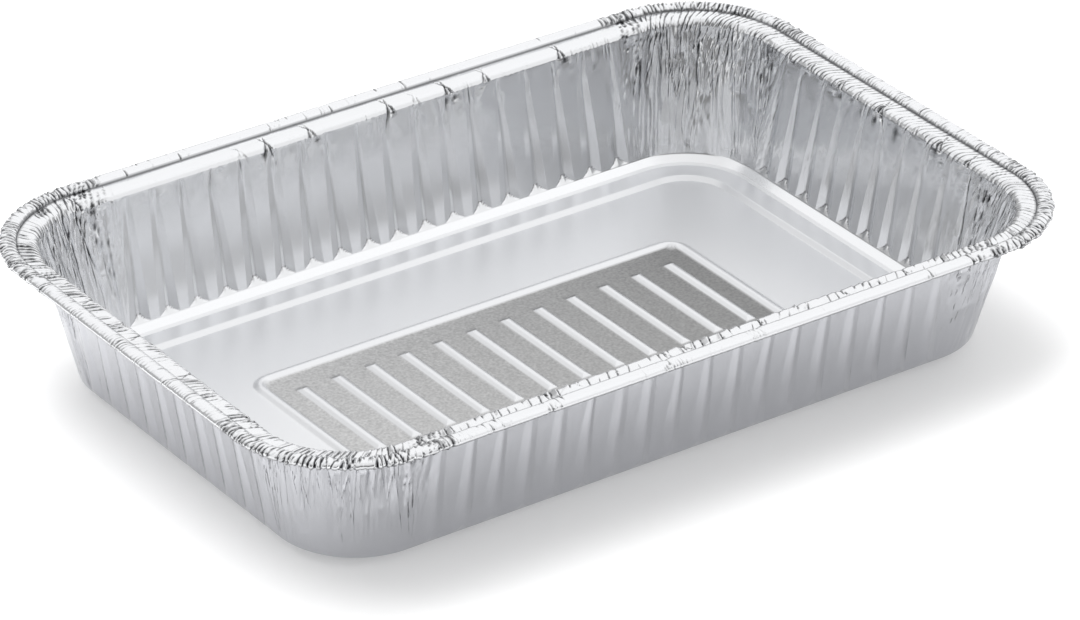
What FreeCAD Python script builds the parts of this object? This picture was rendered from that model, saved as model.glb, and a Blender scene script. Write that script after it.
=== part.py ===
import FreeCAD, Part
import Sketcher
import math
import os

# A drip tray pressed from one sheet of aluminium foil: a rolled rim, a narrow
# flange, drafted walls with tapering flutes, gathered corners and a stepped
# base with pressed stiffening ribs.  Millimetres.  The origin is the middle of
# the underside of the base panel, +X along the tray and +Z up.

doc = FreeCAD.newDocument("foil_drip_tray")

# ---------------------------------------------------------------- sizes
SIZES = [
    ("rim_length", 218.0, "over the rolled rim, along X"),
    ("rim_width", 149.0, "over the rolled rim, along Y"),
    ("tray_height", 36.4, "floor to the top of the rolled rim"),
    ("foil", 0.1, "sheet thickness"),
    ("rim_corner", 29.5, "plan radius of the rim's outer edge"),
    ("bead_radius", 1.5, "middle of the sheet in the rolled rim"),
    ("bead_turn", 330.0, "degrees that the rim is rolled through"),
    ("groove_radius", 0.3, "valley between flange and rolled rim"),
    ("flange_width", 4.4, "flat between groove and shoulder"),
    ("shoulder_radius", 1.3, "underside bend from flange to wall"),
    ("flat_turn", 30.0, "degrees that each flat of the rim's bends turns through"),
    ("rim_skirt", 0.6, "height of wall that the rim section carries"),
    ("foot_inset", 15.0, "rim's outer edge to the foot of the wall"),
    ("foot_corner", 20.0, "plan radius at the foot of the wall"),
    ("foot_height", 2.8, "floor to the foot of the wall"),
    ("ledge_width", 2.8, "sloping ledge inside the foot"),
    ("band_width", 5.0, "flat band inside the ledge"),
    ("step_width", 1.2, "sloping step inside the band"),
    ("step_height", 1.0, "band above the base panel"),
    ("flute_pitch", 8.03, "crest to crest"),
    ("flute_base", 5.6, "width of a flute at the foot"),
    ("flute_crest", 0.8, "width of its flat crest above the heel"),
    ("flute_depth", 0.85, "crest outside the plain wall"),
    ("flute_heel", 2.5, "height of the facet under a crest"),
    ("flute_margin", 3.3, "middle of the last crest to the start of the corner"),
    ("gather_count", 16.0, "folds round each corner"),
    ("gather_depth", 0.32, "fold in or out of the corner's face"),
    ("gather_drop", 2.6, "deepest part of a fold below the wall's top"),
    ("frame_length", 119.0, "pressed frame, along X"),
    ("frame_width", 50.0, "pressed frame, along Y"),
    ("frame_corner", 4.0, "plan radius of the pressed frame"),
    ("bar_count", 12.0, "pressed bars in the frame"),
    ("bar_pitch", 9.4, "bar to bar"),
    ("bar_length", 31.0, "flat top of a bar"),
    ("rib_foot", 3.2, "width of frame and bars where they leave the panel"),
    ("rib_top", 0.8, "width of their flat tops"),
    ("rib_height", 0.85, "frame and bars above the panel"),
]

sheet = doc.addObject("Spreadsheet::Sheet", "sizes")
for row, (alias, value, note) in enumerate(SIZES, start=1):
    sheet.set(f"A{row}", alias)
    sheet.set(f"B{row}", str(value))
    sheet.setAlias(f"B{row}", alias)
    sheet.set(f"C{row}", note)
doc.recompute()


def size(alias):
    return float(sheet.get(alias))


foil = size("foil")
half_length = size("rim_length") / 2
half_width = size("rim_width") / 2
foot_height = size("foot_height")
foot_inset = size("foot_inset")

# ---------------------------------------------------------------- worked out
bead_reach = size("bead_radius") + foil / 2
bead_level = size("tray_height") - bead_reach
flange_level = bead_level - size("groove_radius")
flange_inset = bead_reach + size("bead_radius") + size("groove_radius")
shoulder_inset = flange_inset + size("flange_width")
shoulder_mid = size("shoulder_radius") + foil / 2


def wall_draft():
    """Angle of the wall off the vertical: the line through the foot that touches the shoulder's arc."""
    away = foot_inset - shoulder_inset
    down = flange_level - shoulder_mid - foot_height
    return math.atan2(away, down) - math.asin(size("shoulder_radius") / math.hypot(away, down))


draft = wall_draft()
tan_draft = math.tan(draft)
wall_top = flange_level - shoulder_mid + size("shoulder_radius") * math.sin(draft) - size("rim_skirt")
wall_inset = foot_inset - (wall_top - foot_height) * tan_draft
wall_foil = foil / math.cos(draft)

ledge_drop = foot_height - size("step_height")
ledge_angle = math.atan(ledge_drop / size("ledge_width"))
step_angle = math.atan(size("step_height") / size("step_width"))


def inner_foot():
    """Inset past the foot and height above it where the two upper faces meet."""
    slope = math.tan(ledge_angle)
    lift = foil / math.cos(ledge_angle)
    rise = (lift - slope * wall_foil) / (1 - slope * tan_draft)
    return wall_foil - rise * tan_draft, rise


inner_shift, inner_rise = inner_foot()


# ---------------------------------------------------------------- base
def name_sizes(sketch, named):
    """Adds constraints that have a size, names them and binds them to their expressions."""
    for kind, args, label, expression in named:
        index = sketch.addConstraint(Sketcher.Constraint(kind, *args))
        sketch.renameConstraint(index, label)
        sketch.setExpression(f"Constraints.{label}", expression)


def rounded_outline(name, length, width, radius, level):
    """A rounded rectangle about the Z axis; its four sizes are expressions.

    It is drawn at half sizes x and y with corners r, which the expressions replace.
    """
    sketch = doc.addObject("Sketcher::SketchObject", name)
    x, y, r = 50.0, 40.0, 10.0
    corners = [(x - r, r - y, -90), (x - r, y - r, 0), (r - x, y - r, 90), (r - x, r - y, 180)]
    front, right = [(r - x, -y), (x - r, -y)], [(x, r - y), (x, y - r)]
    ends = front + right + [(-a, -b) for a, b in front + right]
    for side in range(4):
        a, b = ends[2 * side], ends[2 * side + 1]
        sketch.addGeometry(Part.LineSegment(FreeCAD.Vector(*a, 0), FreeCAD.Vector(*b, 0)))
    for cx, cy, start in corners:
        circle = Part.Circle(FreeCAD.Vector(cx, cy, 0), FreeCAD.Vector(0, 0, 1), r)
        arc = Part.ArcOfCircle(circle, math.radians(start), math.radians(start + 90))
        sketch.addGeometry(arc)
    for side in range(4):
        sketch.addConstraint(Sketcher.Constraint("Tangent", side, 2, side + 4, 1))
        sketch.addConstraint(Sketcher.Constraint("Tangent", side + 4, 2, (side + 1) % 4, 1))
    for side, kind in enumerate(("Horizontal", "Vertical", "Horizontal", "Vertical")):
        sketch.addConstraint(Sketcher.Constraint(kind, side))
    for corner in (5, 6, 7):
        sketch.addConstraint(Sketcher.Constraint("Equal", 4, corner))
    sketch.addConstraint(Sketcher.Constraint("Symmetric", 0, 1, 2, 1, -1, 1))
    name_sizes(sketch, [
        ("DistanceX", (3, 1, 1, 1, 2 * x), "length", length),
        ("DistanceY", (0, 1, 2, 1, 2 * y), "width", width),
        ("Radius", (4, r), "radius", radius),
    ])
    sketch.setExpression("Placement.Base.z", level)
    return sketch


def inset_outline(name, inset, level):
    """An outline inside the foot of the wall, concentric at its corners."""
    reach = f"(sizes.foot_inset + {inset})"
    return rounded_outline(
        name,
        f"sizes.rim_length - 2 * {reach}",
        f"sizes.rim_width - 2 * {reach}",
        f"sizes.foot_corner - ({inset})",
        level,
    )


def slope_form(name, low, high):
    """A solid between two base outlines, each given as an inset past the foot and a level."""
    loft = doc.addObject("Part::Loft", name)
    loft.Sections = [inset_outline(f"{name}_low", *low), inset_outline(f"{name}_high", *high)]
    loft.Solid = True
    loft.Ruled = True
    return loft


LEDGE = "sizes.ledge_width"
BAND = f"{LEDGE} + sizes.band_width"
STEP = f"{BAND} + sizes.step_width"

# the upper faces of the flats lie one foil above the undersides, and the slopes stay parallel
ledge_shift = foil * math.tan(ledge_angle / 2)
step_shift = foil * math.tan(step_angle / 2)
step_die = slope_form("step_die", (STEP, "0"), (BAND, "sizes.step_height"))
step_punch = slope_form(
    "step_punch",
    (f"{STEP} + {step_shift}", "sizes.foil"),
    (f"{BAND} + {step_shift}", "sizes.step_height + sizes.foil"),
)
ledge_die = slope_form("ledge_die", (LEDGE, "sizes.step_height"), ("0", "sizes.foot_height"))
ledge_punch = slope_form(
    "ledge_punch",
    (f"{LEDGE} + {ledge_shift}", "sizes.step_height + sizes.foil"),
    (f"{inner_shift}", f"sizes.foot_height + {inner_rise}"),
)


# ---------------------------------------------------------------- wall
class Ring:
    """A rounded rectangle at one height, with points along its sides and corners."""

    def __init__(self, inset, radius, level):
        self.half = (half_length - inset, half_width - inset)
        self.radius = radius
        self.level = level

    def side_half(self, side):
        return self.half[side % 2] - self.radius

    def on_side(self, side, along, out=0.0):
        """A point on a side, measured from its middle, moved outwards."""
        turn = math.radians(90 * side)
        reach = self.half[(side + 1) % 2] + out
        x = along * math.cos(turn) + reach * math.sin(turn)
        y = along * math.sin(turn) - reach * math.cos(turn)
        return FreeCAD.Vector(x, y, self.level)

    def on_corner(self, corner, angle, out=0.0):
        """A point on the corner that follows a side; angle runs from 0 to 90 degrees."""
        sign_x = (1, 1, -1, -1)[corner]
        sign_y = (-1, 1, 1, -1)[corner]
        turn = math.radians(90 * corner - 90 + angle)
        x = sign_x * (self.half[0] - self.radius) + (self.radius + out) * math.cos(turn)
        y = sign_y * (self.half[1] - self.radius) + (self.radius + out) * math.sin(turn)
        return FreeCAD.Vector(x, y, self.level)

    def corner_arc(self, corner, first, last):
        middle = self.on_corner(corner, (first + last) / 2)
        return Part.Arc(self.on_corner(corner, first), middle, self.on_corner(corner, last)).toShape()


def between(low, high, level):
    """The ring of the plain wall at a height between two rings."""
    share = (level - low.level) / (high.level - low.level)
    ring = Ring(0, low.radius + share * (high.radius - low.radius), level)
    ring.half = tuple(a + share * (b - a) for a, b in zip(low.half, high.half))
    return ring


def polygon(*points):
    return Part.Face(Part.makePolygon(list(points) + [points[0]]))


def crests(side):
    """Places of the flutes' crests along a side, from its middle."""
    straight = 2 * (half_length if side % 2 == 0 else half_width) - 2 * foot_inset - 2 * size("foot_corner")
    count = int((straight - 2 * size("flute_margin")) / size("flute_pitch")) + 1
    return [(k - (count - 1) / 2) * size("flute_pitch") for k in range(count)]


def gather_angles(corner):
    """Uneven fold lines round a corner, from 0 to 90 degrees."""
    count = int(size("gather_count"))
    angles = []
    for fold in range(count + 1):
        sway = 0.28 * math.sin(2.4 * fold + 1.7 * corner) if 0 < fold < count else 0.0
        angles.append(90.0 * (fold + sway) / count)
    return angles


def gather_out(corner, fold, count):
    """How far a fold line stands out of the corner's face; the last at each end lies in it."""
    if fold in (0, count):
        return 0.0
    swing = 0.75 + 0.25 * math.sin(1.9 * fold + 2.3 * corner)
    return size("gather_depth") * swing * (1 if fold % 2 else -1)


def fluted_side(side, foot, fold, top):
    """Plain panels with a flute between them: a crest between two flanks, over a small heel facet."""
    heel = between(foot, top, foot_height + size("flute_heel"))
    half_base = size("flute_base") / 2
    half_crest = size("flute_crest") / 2
    faces = []
    foot_from = foot.on_side(side, -foot.side_half(side))
    top_from = top.on_side(side, -top.side_half(side))
    start = [foot_from, top_from, fold.on_side(side, -fold.side_half(side))]
    for place in crests(side):
        left = foot.on_side(side, place - half_base)
        right = foot.on_side(side, place + half_base)
        crest_left = heel.on_side(side, place - half_crest, size("flute_depth"))
        crest_right = heel.on_side(side, place + half_crest, size("flute_depth"))
        end = top.on_side(side, place)
        faces.append(polygon(foot_from, left, end, *start[1:]))
        faces.append(polygon(left, crest_left, end))
        faces.append(polygon(crest_left, crest_right, end))
        faces.append(polygon(crest_right, right, end))
        faces.append(polygon(left, right, crest_right, crest_left))
        foot_from = right
        start = [right, end]
    foot_to = foot.on_side(side, foot.side_half(side))
    top_to = top.on_side(side, top.side_half(side))
    fold_to = fold.on_side(side, fold.side_half(side))
    faces.append(polygon(foot_from, foot_to, fold_to, top_to, *start[1:]))
    return faces


def gathered_corner(corner, foot, fold, top):
    """Folds that stand in and out near the top of the wall and run out at both edges."""
    angles = gather_angles(corner)
    count = len(angles) - 1
    faces = []
    for index in range(count):
        first, last = angles[index], angles[index + 1]
        low = foot.corner_arc(corner, first, last)
        high = top.corner_arc(corner, first, last)
        near = fold.on_corner(corner, first, gather_out(corner, index, count))
        far = fold.on_corner(corner, last, gather_out(corner, index + 1, count))
        crease = Part.makeLine(near, far)
        faces.append(Part.makeRuledSurface(low, crease))
        faces.append(Part.makeRuledSurface(crease, high))
    return faces


def wall_form(name, foot_shift, foot_rise, top_shift):
    """The wall as a solid from its foot to its top, with its flutes and gathers."""
    foot = Ring(foot_inset + foot_shift, size("foot_corner") - foot_shift, foot_height + foot_rise)
    top = Ring(wall_inset + top_shift, size("rim_corner") - wall_inset - top_shift, wall_top)
    fold = between(foot, top, wall_top - size("gather_drop"))
    faces = []
    for number in range(4):
        faces += fluted_side(number, foot, fold, top)
        faces += gathered_corner(number, foot, fold, top)
    skin = Part.makeShell(faces)
    skin.sewShape()
    rims = Part.sortEdges([edge for edge in skin.Edges if len(skin.ancestorsOfType(edge, Part.Face)) == 1])
    caps = [Part.Face(Part.Wire(loop)) for loop in rims]
    shell = Part.makeShell(skin.Faces + caps)
    shell.sewShape()
    solid = Part.makeSolid(shell)
    if solid.Volume < 0:
        solid.reverse()
    form = doc.addObject("Part::Feature", name)
    form.Shape = solid
    return form


wall_die = wall_form("wall_die", 0.0, 0.0, 0.0)
wall_punch = wall_form("wall_punch", inner_shift, inner_rise, wall_foil)

# ---------------------------------------------------------------- rim
def section_point(inset, level):
    """A point of the rim's section, which stands where the front side leaves its corner."""
    return FreeCAD.Vector(size("rim_corner") - half_length, inset - half_width, level)


def section_bend(inset, level, radius, first, last):
    """A bend about a centre as equal flats; 0 degrees points outwards and 90 up."""
    flats = max(1, round(abs(last - first) / size("flat_turn")))
    points = []
    for flat in range(flats + 1):
        turn = math.radians(first + (last - first) * flat / flats)
        points.append(section_point(inset - radius * math.cos(turn), level + radius * math.sin(turn)))
    return points


def rim_skin(offset):
    """One face of the sheet, as points from the wall's top to the end of the roll.

    The offset is the face's distance from the middle of the sheet, positive on
    the inside of the tray.
    """
    foot_shift = wall_foil if offset > 0 else 0.0
    lean = 180 - math.degrees(draft)
    groove_level = flange_level + size("groove_radius")
    shoulder = section_bend(shoulder_inset, flange_level - shoulder_mid, shoulder_mid + offset, lean, 90)
    groove = section_bend(flange_inset, groove_level, size("groove_radius") - offset, -90, 0)
    bead = section_bend(bead_reach, bead_level, size("bead_radius") + offset, 180, 180 - size("bead_turn"))
    return [section_point(wall_inset + foot_shift, wall_top)] + shoulder + groove + bead[1:]


def rim_section():
    """The sheet's section in the rim: up one face, round the roll's end and back down the other."""
    points = rim_skin(-foil / 2) + rim_skin(foil / 2)[::-1]
    section = doc.addObject("Part::Feature", "rim_section")
    section.Shape = Part.makePolygon(points + points[:1])
    return section


rim_path = rounded_outline("rim_path", "sizes.rim_length", "sizes.rim_width", "sizes.rim_corner", "0")
rim = doc.addObject("Part::Sweep", "rim")
rim.Sections = [rim_section()]
rim.Spine = (rim_path, [f"Edge{number}" for number in range(1, 9)])
rim.Solid = True
rim.Frenet = False


# ---------------------------------------------------------------- the sheet
def joined(kind, name, parts):
    """A fuse of several parts, or a cut of the second from the first."""
    result = doc.addObject(kind, name)
    if kind == "Part::MultiFuse":
        result.Shapes = parts
    else:
        result.Base, result.Tool = parts
    return result


outer_form = joined("Part::MultiFuse", "outer_form", [step_die, ledge_die, wall_die])
inner_form = joined("Part::MultiFuse", "inner_form", [step_punch, ledge_punch, wall_punch])
pressing = joined("Part::Cut", "pressing", [outer_form, inner_form])
rimmed = joined("Part::MultiFuse", "rimmed", [pressing, rim])


# ---------------------------------------------------------------- pressed ribs
rib_slope = math.atan(2 * size("rib_height") / (size("rib_foot") - size("rib_top")))
rib_shift = 2 * foil * math.tan(rib_slope / 2)
RIB_TAPER = "(sizes.rib_foot - sizes.rib_top) / sizes.rib_height"

# foot width, top width, foot level and top level of the ribs' upper faces and of their hollows;
# the foot lies half a foil inside the panel, and one foil below it under the hollows
RIB_TOPS = (
    f"sizes.rib_foot + {RIB_TAPER} * sizes.foil / 2",
    "sizes.rib_top",
    "sizes.foil / 2",
    "sizes.foil + sizes.rib_height",
)
RIB_HOLLOWS = (
    f"sizes.rib_foot - {rib_shift} + {RIB_TAPER} * sizes.foil",
    f"sizes.rib_top - {rib_shift}",
    "-sizes.foil",
    "sizes.rib_height",
)


def rib_section(name, foot, top, low, high):
    """The ribs' section, a trapezoid that stands across the start of the frame's front side.

    It is drawn with half widths a and b, which the expressions replace.
    """
    sketch = doc.addObject("Sketcher::SketchObject", name)
    a, b, rise = 2.0, 1.0, 1.0
    ends = [(-a, 0), (a, 0), (b, rise), (-b, rise)]
    for side in range(4):
        start, end = ends[side], ends[(side + 1) % 4]
        sketch.addGeometry(Part.LineSegment(FreeCAD.Vector(*start, 0), FreeCAD.Vector(*end, 0)))
    for side in range(4):
        sketch.addConstraint(Sketcher.Constraint("Coincident", side, 2, (side + 1) % 4, 1))
    sketch.addConstraint(Sketcher.Constraint("Symmetric", 0, 1, 0, 2, -1, 1))
    sketch.addConstraint(Sketcher.Constraint("Symmetric", 2, 1, 2, 2, -2))
    sketch.addConstraint(Sketcher.Constraint("PointOnObject", 0, 1, -1))
    name_sizes(sketch, [
        ("DistanceX", (0, 1, 0, 2, 2 * a), "foot", foot),
        ("DistanceX", (2, 2, 2, 1, 2 * b), "top", top),
        ("DistanceY", (0, 1, 2, 2, rise), "rise", f"({high}) - ({low})"),
    ])
    across_x = FreeCAD.Rotation(FreeCAD.Vector(1, 1, 1), 120)
    sketch.Placement = FreeCAD.Placement(FreeCAD.Vector(), across_x)
    sketch.setExpression("Placement.Base.x", "sizes.frame_corner - sizes.frame_length / 2")
    sketch.setExpression("Placement.Base.y", "-sizes.frame_width / 2")
    sketch.setExpression("Placement.Base.z", low)
    return sketch


def frame_rib(name, foot, top, low, high):
    """The section carried round a rounded rectangle."""
    path = rounded_outline(
        f"{name}_path", "sizes.frame_length", "sizes.frame_width", "sizes.frame_corner", low
    )
    ridge = doc.addObject("Part::Sweep", name)
    ridge.Sections = [rib_section(f"{name}_section", foot, top, low, high)]
    ridge.Spine = (path, [f"Edge{number}" for number in range(1, 9)])
    ridge.Solid = True
    return ridge


def bar_ribs(name, foot, top, low, high):
    """A row of bars across the frame, with the same slope at their sides and ends."""
    upright = FreeCAD.Rotation(FreeCAD.Vector(1, 0, 0), 90)
    bars = []
    for number in range(int(size("bar_count"))):
        bar = doc.addObject("Part::Wedge", f"{name}_{number}")
        bar.Placement = FreeCAD.Placement(FreeCAD.Vector(), upright)
        bar.setExpression("Placement.Base.x", f"sizes.bar_pitch * ({number} - (sizes.bar_count - 1) / 2)")
        bar.setExpression("Ymin", low)
        bar.setExpression("Ymax", high)
        for level, width in (("", foot), ("2", top)):
            bar.setExpression(f"X{level}min", f"-({width}) / 2")
            bar.setExpression(f"X{level}max", f"({width}) / 2")
            bar.setExpression(f"Z{level}min", f"-({width} - sizes.rib_top + sizes.bar_length) / 2")
            bar.setExpression(f"Z{level}max", f"({width} - sizes.rib_top + sizes.bar_length) / 2")
        bars.append(bar)
    return bars


def rib_form(name, measures):
    """Frame and bars as one form, for their upper faces or for their hollows."""
    frame = frame_rib(f"{name}_frame", *measures)
    return joined("Part::MultiFuse", name, [frame] + bar_ribs(f"{name}_bar", *measures))


rib_tops = rib_form("rib_tops", RIB_TOPS)
rib_hollows = rib_form("rib_hollows", RIB_HOLLOWS)
ribbed = joined("Part::MultiFuse", "ribbed", [rimmed, rib_tops])
foil_tray = joined("Part::Cut", "foil_tray", [ribbed, rib_hollows])
foil_tray.Label = "foil_tray"
doc.recompute()

# ---------------------------------------------------------------- write
for item in doc.Objects:
    faults = [state for state in item.State if state in ("Invalid", "Error")]
    if faults:
        raise RuntimeError(f"{item.Name} did not build: {faults}")
nodes = [foil_tray]
for node in nodes:
    if node.Shape.isNull() or not node.Shape.isValid() or len(node.Shape.Solids) != 1:
        raise RuntimeError(f"{node.Label} is not one valid solid")
os.makedirs("parts", exist_ok=True)
for node in nodes:
    shape = node.Shape.Solids[0]
    shape.exportStep(f"parts/{node.Label}.step")
    box = shape.BoundBox
    print(f"{node.Label}: {box.XLength:.2f} x {box.YLength:.2f} x {box.ZLength:.2f} mm, low {box.ZMin:.3f}")
    print(f"  {shape.Volume:.1f} mm3, {len(shape.Faces)} faces, {shape.Area:.0f} mm2")
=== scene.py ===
# %% [markdown]
# # A foil drip tray
# The tray is one sheet of soft aluminium foil, a tenth of a millimetre thick. A press draws it over a
# die: the wall is fluted so that it stands by itself, the corners gather the foil that is left over,
# and the rim is rolled into a bead so that it doesn't cut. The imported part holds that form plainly.
# This scene dresses it: the same sheet, with the soft edges, creases and nicks that real foil has.

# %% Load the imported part
import math

import bpy
import numpy as np
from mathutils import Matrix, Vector


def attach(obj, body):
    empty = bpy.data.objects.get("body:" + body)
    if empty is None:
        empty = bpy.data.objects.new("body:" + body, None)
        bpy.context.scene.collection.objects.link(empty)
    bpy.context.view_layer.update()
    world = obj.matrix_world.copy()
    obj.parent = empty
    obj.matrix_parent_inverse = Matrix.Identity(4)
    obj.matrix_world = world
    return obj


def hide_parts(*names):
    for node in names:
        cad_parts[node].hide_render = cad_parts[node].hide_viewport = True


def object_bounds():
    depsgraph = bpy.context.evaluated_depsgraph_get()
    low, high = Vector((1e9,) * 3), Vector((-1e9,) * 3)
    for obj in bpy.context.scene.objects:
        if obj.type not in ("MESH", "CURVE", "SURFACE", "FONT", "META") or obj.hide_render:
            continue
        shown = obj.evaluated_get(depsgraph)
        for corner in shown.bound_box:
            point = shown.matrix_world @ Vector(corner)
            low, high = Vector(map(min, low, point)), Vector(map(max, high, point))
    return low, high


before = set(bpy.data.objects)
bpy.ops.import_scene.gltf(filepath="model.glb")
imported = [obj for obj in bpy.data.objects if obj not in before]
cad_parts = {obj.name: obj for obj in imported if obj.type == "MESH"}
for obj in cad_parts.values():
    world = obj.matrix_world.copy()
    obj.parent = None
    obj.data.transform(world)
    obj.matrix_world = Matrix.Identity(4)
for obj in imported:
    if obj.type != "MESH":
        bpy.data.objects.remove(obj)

MM = 0.001
cad_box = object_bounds()
LENGTH, WIDTH, HEIGHT = (cad_box[1] - cad_box[0]) / MM
print(f"packed part: {LENGTH:.1f} x {WIDTH:.1f} x {HEIGHT:.1f} mm, nodes {sorted(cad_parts)}")

# %% [markdown]
# ## The sizes of the sheet
# Lengths are in millimetres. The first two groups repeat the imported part, so the dressed sheet lies
# where the plain one does. An inset is a distance inwards from the outer edge of the rolled rim.

# %% Sizes
FOIL = 0.1
RIM_CORNER = 29.5
BEAD_RADIUS = 1.5
BEAD_TURN = 330.0
GROOVE_RADIUS = 0.3
FLANGE_WIDTH = 4.4
SHOULDER_RADIUS = 1.3
FOOT_INSET = 15.0
FOOT_CORNER = 20.0
FOOT_HEIGHT = 2.8
LEDGE_WIDTH = 2.8
BAND_WIDTH = 5.0
STEP_WIDTH = 1.2
STEP_HEIGHT = 1.0

FLUTE_PITCH = 8.03
FLUTE_BASE = 5.6
FLUTE_CREST = 0.8
FLUTE_DEPTH = 0.85
FLUTE_HEEL = 2.5
LONG_FLUTES, SHORT_FLUTES = 18, 10

SOFT_BEND = 0.4  # radius of the base's pressed bends
PANEL_LAP = 1.0  # flat ring of the base that belongs to the stepped foot
STEP_INSET = FOOT_INSET + LEDGE_WIDTH + BAND_WIDTH + STEP_WIDTH
PANEL_INSET = STEP_INSET + PANEL_LAP
print(f"the base panel starts {PANEL_INSET:.1f} mm inside the rim's edge")

# %% [markdown]
# ## The pressed rim
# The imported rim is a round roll. The tool that closes the real one presses it flat, wider than it is
# tall, and leaves the flange a little higher and the shoulder rounder. Its box stays the same.

# %% Pressed rim
ROLL_WIDTH, ROLL_HEIGHT = 4.1, 2.2
ROLL_GROOVE = 0.25  # radius of the sheet's bend between flange and roll
SOFT_SHOULDER = 2.0
ROLL_LEVEL = HEIGHT - ROLL_HEIGHT / 2
FLANGE_LEVEL = ROLL_LEVEL - ROLL_GROOVE
GROOVE_INSET = ROLL_WIDTH - FOIL + ROLL_GROOVE
print(f"flange at {FLANGE_LEVEL:.2f} mm, middle of the roll at {ROLL_LEVEL:.2f} mm")

# %% [markdown]
# ## The section of the sheet
# Cut the tray anywhere and the sheet's underside shows the same line: flat base, step, band, ledge,
# wall, shoulder, flange, groove and bead. It is a row of straight runs with a round bend at each
# corner, and two arcs for the rolled rim. The line is sampled finely once, and each piece takes the
# rows that it needs from it.

# %% Section line
LINE_START = 2.0  # how far inside the panel's edge the line starts
LIP_POINT = 34  # number of the bead's point where the roll turns under


def arc(centre, radii, first, last, steps):
    """Points on an ellipse: centre plus radii times (minus cosine, sine); 0 degrees points outwards."""
    turn = np.radians(np.linspace(first, last, steps))
    return np.column_stack([centre[0] - radii[0] * np.cos(turn), centre[1] + radii[1] * np.sin(turn)])


def unit(vectors):
    """The same vectors at length one."""
    return vectors / np.linalg.norm(vectors, axis=-1, keepdims=True)


def bend(before, corner, after, radius, steps=12):
    """A round bend: the arc that touches both runs, from one tangent point to the other."""
    one, two = unit(before - corner), unit(after - corner)
    half = math.acos(np.clip(one @ two, -1, 1)) / 2
    centre = corner + unit(one + two) * radius / math.sin(half)
    start, end = corner + one * radius / math.tan(half), corner + two * radius / math.tan(half)
    share = np.linspace(0, 1, steps)[:, None]
    return centre + radius * unit((start - centre) * (1 - share) + (end - centre) * share)


def wall_lean():
    """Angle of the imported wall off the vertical: tangent to its shoulder's arc and through the foot."""
    reach = BEAD_RADIUS + FOIL / 2
    inset = reach + BEAD_RADIUS + GROOVE_RADIUS + FLANGE_WIDTH
    level = HEIGHT - reach - GROOVE_RADIUS - FOIL / 2 - SHOULDER_RADIUS
    away, down = FOOT_INSET - inset, level - FOOT_HEIGHT
    return math.atan2(away, down) - math.asin(SHOULDER_RADIUS / math.hypot(away, down))


LEAN = wall_lean()
SHOULDER_INSET = FOOT_INSET - (FLANGE_LEVEL - FOOT_HEIGHT) * math.tan(LEAN)
corners = np.array([
    (PANEL_INSET + LINE_START, 0.0),
    (STEP_INSET, 0.0),
    (STEP_INSET - STEP_WIDTH, STEP_HEIGHT),
    (FOOT_INSET + LEDGE_WIDTH, STEP_HEIGHT),
    (FOOT_INSET, FOOT_HEIGHT),
    (SHOULDER_INSET, FLANGE_LEVEL),
    (GROOVE_INSET, FLANGE_LEVEL),
])
bends = [SOFT_BEND, SOFT_BEND, SOFT_BEND, SOFT_BEND, SOFT_SHOULDER]
runs = [bend(*corners[k:k + 3], radius) for k, radius in enumerate(bends)]
groove = arc((GROOVE_INSET, ROLL_LEVEL), (ROLL_GROOVE, ROLL_GROOVE), 270, 360, 12)
roll_radii = (ROLL_WIDTH / 2 - FOIL, ROLL_HEIGHT / 2 - FOIL)
bead = arc((ROLL_WIDTH / 2, ROLL_LEVEL), roll_radii, 180, 180 - BEAD_TURN, 60)
section = np.concatenate([corners[:1], *runs, groove, bead[1:]])
travel = np.concatenate([[0], np.cumsum(np.linalg.norm(np.diff(section, axis=0), axis=1))])


def station(run, number):
    """Travel along the section at a point of one of its bends: 0 is its start and -1 its end."""
    return travel[np.argmin(np.linalg.norm(section - run[number], axis=1))]


V_LEDGE, V_FOOT = station(runs[2], -1), station(runs[3], -1)
V_TOP, V_FLANGE = station(runs[4], 0), station(runs[4], -1)
V_GROOVE, V_BEAD, V_END = station(groove, 0), station(bead, 0), travel[-1]
V_LIP = station(bead, LIP_POINT)
TOP_LEVEL = np.interp(V_TOP, travel, section[:, 1])
print(f"wall leans {math.degrees(LEAN):.2f} degrees; the section is {V_END:.1f} mm long")

# %% [markdown]
# ## Rings and columns
# In plan each point of the section runs round a rounded rectangle. A ring is such an outline; a column
# is a line up the section. The corners of the foot and of the rim have different centres, so the
# straight sides are longer at the top: the flutes keep their places, and the plain margin beside each
# corner takes up the difference. All patterns go by the distance round the tray, the trip.

# %% Rings and columns
STRAIGHT_FOOT = np.array([LENGTH, WIDTH]) / 2 - FOOT_INSET - FOOT_CORNER
STRAIGHT_RIM = np.array([LENGTH, WIDTH]) / 2 - RIM_CORNER
CORNER_RADIUS = 24.0  # where the distance round a corner is measured, about half way out
CORNER_TRAVEL = CORNER_RADIUS * math.pi / 2
ROUND_TRIP = 4 * STRAIGHT_RIM.sum() + 4 * CORNER_TRAVEL
FINE_TABLE = 8001  # points of the tables from which positions are read


def row_places(count, pitch):
    """Places of a row's members, evenly spaced about the middle of a side."""
    return (np.arange(count) - (count - 1) / 2) * pitch


def nearest(place, count, pitch):
    """Number and place of the row's member that is nearest to a place."""
    number = np.clip(np.round(place / pitch + (count - 1) / 2), 0, count - 1)
    return number, (number - (count - 1) / 2) * pitch


CRESTS = [row_places(count, FLUTE_PITCH) for count in (LONG_FLUTES, SHORT_FLUTES)]
HALF_CREST, HALF_FLANK, HALF_PITCH = FLUTE_CREST / 2, FLUTE_BASE / 2, FLUTE_PITCH / 2
HOLD = np.array([row[-1] for row in CRESTS]) + HALF_FLANK  # to the last flute's edge


def ease(value, low, high):
    """0 below low, 1 above high, and 3t^2 - 2t^3 between them."""
    t = np.clip((value - low) / (high - low), 0, 1)
    return t * t * (3 - 2 * t)


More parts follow.
